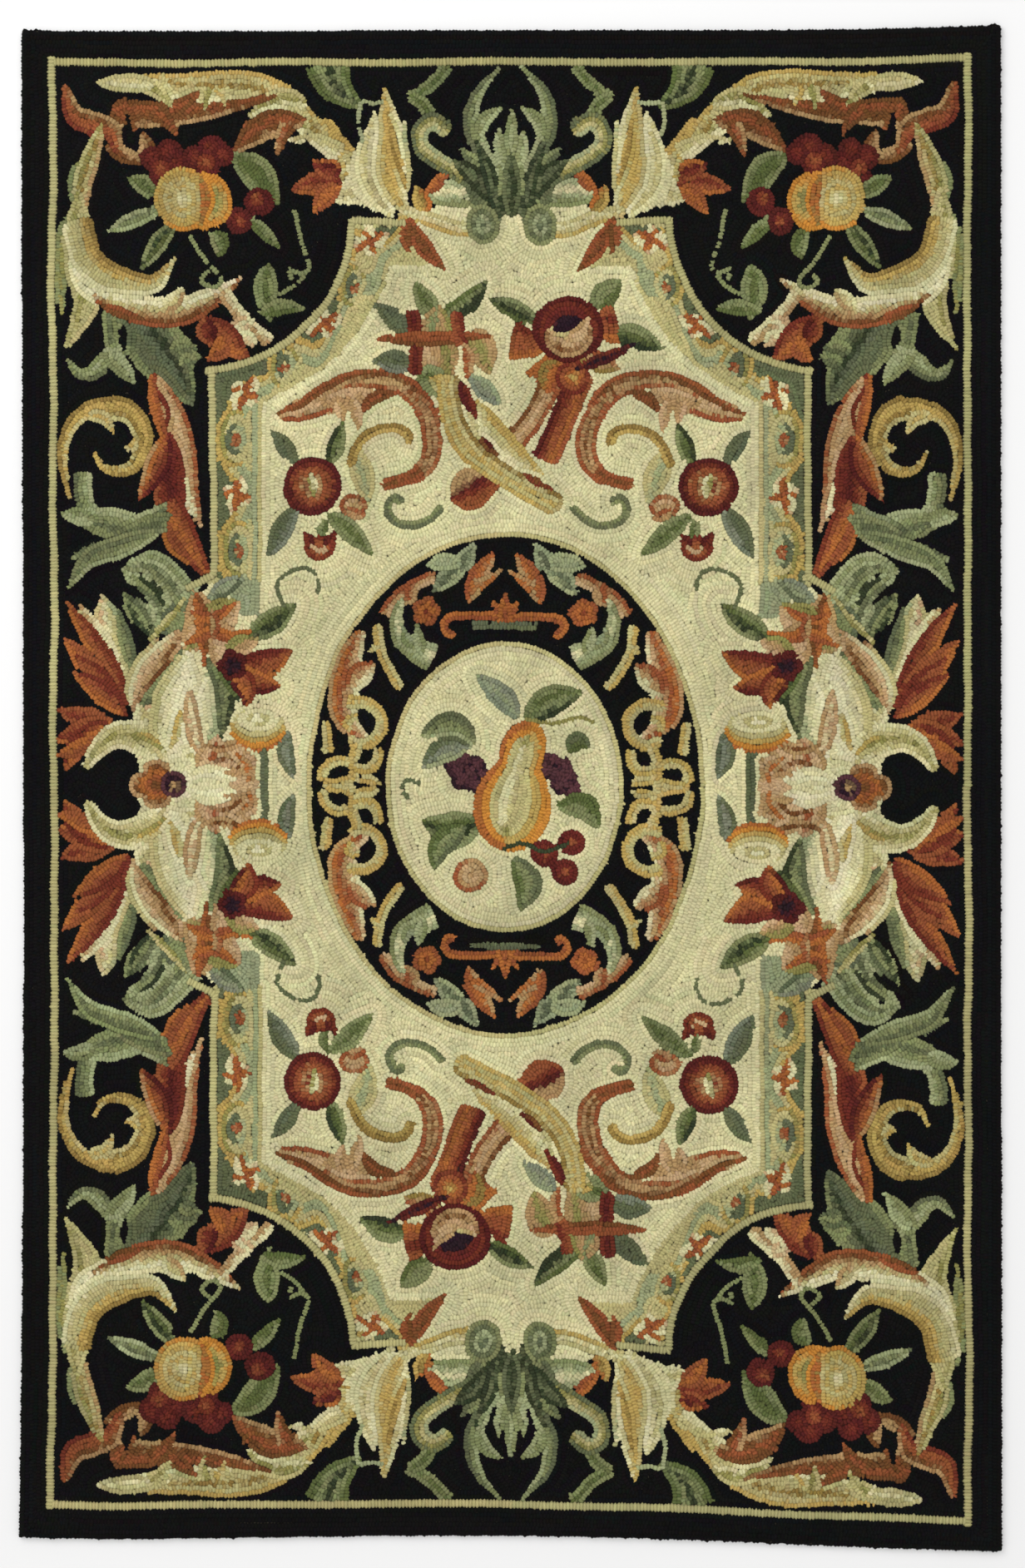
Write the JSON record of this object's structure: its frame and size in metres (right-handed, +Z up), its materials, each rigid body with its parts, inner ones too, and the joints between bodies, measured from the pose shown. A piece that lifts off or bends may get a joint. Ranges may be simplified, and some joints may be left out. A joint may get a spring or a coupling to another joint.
{
  "type": "hooked rug",
  "caption": "Rectangular hand-hooked wool rug lying flat, one thick cloth with a low looped pile, a rounded rim and slightly bowed edges.",
  "frame": {"origin": "on the floor under the middle of the rug's outline, at the centre of the bounding box's bottom face", "axes": "+X across the rug's width, +Y along its length towards the end that is at the top of the picture, +Z up out of the pile"},
  "size_m": [1.14, 1.7699, 0.0089],
  "materials": {
    "hooked_wool": "matt looped wool yarn in black, cream, gold, rust and green"
  },
  "bodies": {
    "root": {"hooked_rug": "hooked_wool"}
  },
  "joints": []
}
